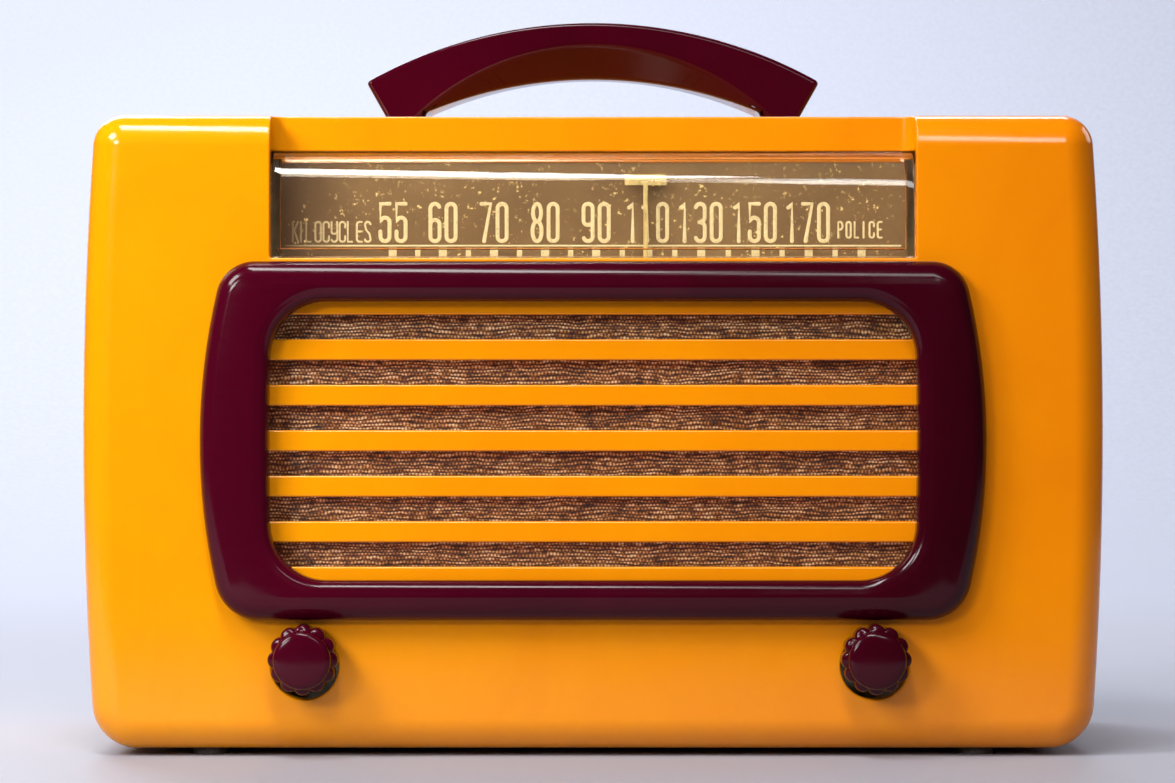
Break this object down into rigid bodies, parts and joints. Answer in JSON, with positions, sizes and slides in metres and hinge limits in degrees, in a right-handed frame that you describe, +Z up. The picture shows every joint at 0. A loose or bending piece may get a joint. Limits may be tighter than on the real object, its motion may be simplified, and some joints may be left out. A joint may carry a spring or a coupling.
{
  "type": "table radio",
  "caption": "Table radio with a cast phenolic cabinet, carrying handle, framed slotted grille, slide-rule dial, scalloped knobs and full working chassis inside.",
  "frame": {"origin": "on the table, under the middle of the whole radio with its knobs", "axes": "+X to the right seen from the front, +Y from the front to the back, +Z up"},
  "size_m": [0.292, 0.163, 0.2143],
  "materials": {
    "cast_yellow": "polished cast phenolic",
    "cast_maroon": "polished cast phenolic",
    "zinc_steel": "zinc plated",
    "grille_weave": "metallic woven cloth",
    "pressed_board": "hard pressed",
    "clear_lens": "clear moulded",
    "dial_paint": "satin enamel",
    "plated_sheet": "cadmium plated sheet",
    "cream_paint": "satin enamel",
    "turned_brass": "turned",
    "foot_rubber": "aged",
    "bare_aluminium": "rolled",
    "pressed_fibre": "pressed fibre",
    "dial_twine": "waxed braided cord",
    "black_enamel": "baked enamel",
    "treated_cloth": "doped cloth",
    "cone_paper": "felted pulp",
    "copper_wire": "enamelled copper wire",
    "magnet_iron": "ground",
    "core_steel": "varnished laminations",
    "waxed_card": "waxed tube",
    "black_phenolic": "moulded",
    "tube_glass": "blown",
    "carbonised_metal": "matt black",
    "lamp_glass": "blown"
  },
  "bodies": {
    "radio": {"cabinet": "cast_yellow", "grille_bezel": "cast_maroon", "bezel_screws": "zinc_steel", "grille_cloth": "grille_weave", "baffle_board": "pressed_board", "baffle_screws": "zinc_steel", "dial_lens": "clear_lens", "lens_clips": "zinc_steel", "lens_screws": "zinc_steel", "dial_plate": "dial_paint", "dial_spacers": "zinc_steel", "dial_bracket": "plated_sheet", "bracket_screws": "zinc_steel", "pointer_rail": "zinc_steel", "handle": "cast_maroon", "handle_screws": "zinc_steel", "volume_control": "plated_sheet", "volume_nut": "zinc_steel", "tuning_bushing": "turned_brass", "feet": "foot_rubber", "chassis": "plated_sheet", "chassis_screws": "zinc_steel", "gang_frame": "plated_sheet", "gang_grommets": "foot_rubber", "gang_stator": "bare_aluminium", "pulley_pins": "zinc_steel", "pointer_cord": "dial_twine", "drive_cord": "dial_twine", "speaker_basket": "black_enamel", "speaker_gasket": "pressed_board", "speaker_surround": "treated_cloth", "speaker_magnet": "magnet_iron", "speaker_screws": "zinc_steel", "output_transformer": "core_steel", "if_transformers": "bare_aluminium", "filter_capacitor": "waxed_card", "tube_sockets": "black_phenolic", "tube_bases": "black_phenolic", "tube_bulbs": "tube_glass", "tube_plates": "carbonised_metal", "pilot_lamp": "lamp_glass", "back_cover": "pressed_board", "back_screws": "zinc_steel", "loop_antenna": "copper_wire", "cord_grommet": "foot_rubber"},
    "volume": {"volume_knob": "cast_maroon", "volume_shaft": "zinc_steel"},
    "tuner": {"dial_drum": "pressed_fibre", "gang_shaft": "zinc_steel", "gang_rotor": "bare_aluminium"},
    "tuning_control": {"tuning_knob": "cast_maroon", "tuning_shaft": "zinc_steel", "tuning_clip": "zinc_steel"},
    "pointer": {"dial_pointer": "cream_paint", "pointer_carriage": "cream_paint"},
    "left_idler": {"left_pulley": "turned_brass"},
    "right_idler": {"right_pulley": "turned_brass"},
    "lower_idler": {"lower_pulley": "turned_brass"},
    "speaker_motion": {"speaker_cone": "cone_paper", "voice_coil": "copper_wire"}
  },
  "joints": [
    {"name": "volume_turn", "type": "hinge", "parent": "radio", "child": "volume", "pos_m": [-0.082, 0, 0.0282], "axis": [0, 1, 0], "range_deg": [0, 300]},
    {"name": "gang_turn", "type": "hinge", "parent": "radio", "child": "tuner", "pos_m": [0.08, 0, 0.0755], "axis": [0, 1, 0], "range_deg": [-103.9, 76]},
    {"name": "tuning_turn", "type": "hinge", "parent": "radio", "child": "tuning_control", "pos_m": [0.08, 0, 0.0282], "axis": [0, 1, 0], "range_deg": [-1097.4, 803.1]},
    {"name": "pointer_slide", "type": "slide", "parent": "radio", "child": "pointer", "axis": [1, 0, 0], "range_m": [-0.0754, 0.0552]},
    {"name": "left_idler_turn", "type": "hinge", "parent": "radio", "child": "left_idler", "pos_m": [-0.104, 0, 0.134], "axis": [0, 1, 0], "range_deg": [-1435.3, 1050.3]},
    {"name": "right_idler_turn", "type": "hinge", "parent": "radio", "child": "right_idler", "pos_m": [0.1154, 0, 0.131], "axis": [0, 1, 0], "range_deg": [-718.4, 525.9]},
    {"name": "lower_idler_turn", "type": "hinge", "parent": "radio", "child": "lower_idler", "pos_m": [0.0326, 0, 0.125], "axis": [0, 1, 0], "range_deg": [-525.9, 718.4]},
    {"name": "cone_travel", "type": "slide", "parent": "radio", "child": "speaker_motion", "axis": [0, 1, 0], "range_m": [-0.0008, 0.0008], "stiffness_N_per_m": 1200}
  ],
  "couplings": [
    {"joint": "tuning_turn", "follows": "gang_turn", "ratio": 10.548},
    {"joint": "pointer_slide", "follows": "gang_turn", "m_per_rad": 0.0414},
    {"joint": "left_idler_turn", "follows": "gang_turn", "ratio": 13.8},
    {"joint": "right_idler_turn", "follows": "gang_turn", "ratio": 6.9},
    {"joint": "lower_idler_turn", "follows": "gang_turn", "ratio": -6.9}
  ]
}
